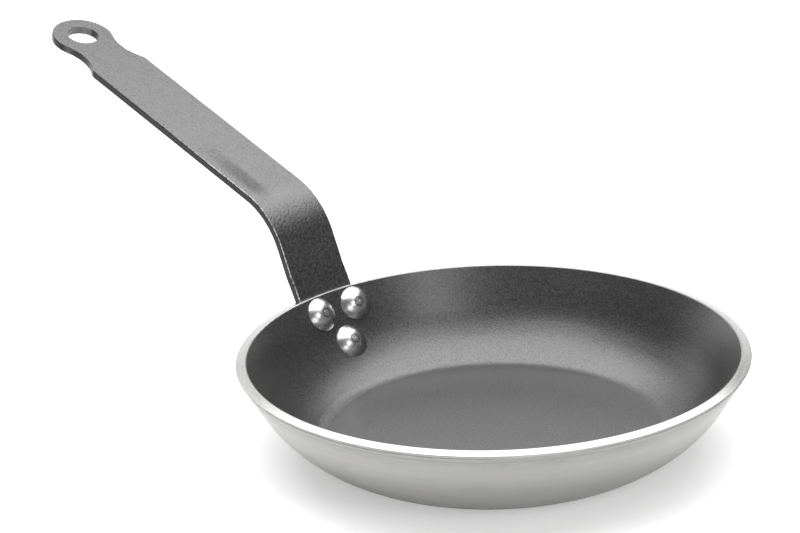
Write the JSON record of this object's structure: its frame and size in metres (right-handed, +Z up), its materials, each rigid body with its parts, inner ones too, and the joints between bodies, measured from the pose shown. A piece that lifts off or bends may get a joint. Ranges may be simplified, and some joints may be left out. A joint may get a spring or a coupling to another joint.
{
  "type": "omelette pan",
  "caption": "Low round frying pan for omelettes: flared aluminium bowl with a non-stick lining, riveted steel strap handle rising to an eye for hanging.",
  "frame": {"origin": "centre of the pan's flat base, on the surface that the pan stands on", "axes": "+Z up through the middle of the pan; +X towards the handle's end; +Y to the left when looking along the handle from the pan"},
  "size_m": [0.3689, 0.1996, 0.1191],
  "materials": {
    "aluminium": "matte turned aluminium, brighter on the bevelled rim",
    "coating": "dark grey fluoropolymer non-stick coating, finely speckled, satin",
    "handle": "steel with a grained dark grey epoxy coat, satin",
    "rivet": "polished aluminium"
  },
  "bodies": {
    "root": {"pan_body": "aluminium", "nonstick_lining": "coating", "handle_strap": "handle", "rivet_upper_left": "rivet", "rivet_upper_right": "rivet", "rivet_lower": "rivet"}
  },
  "joints": []
}
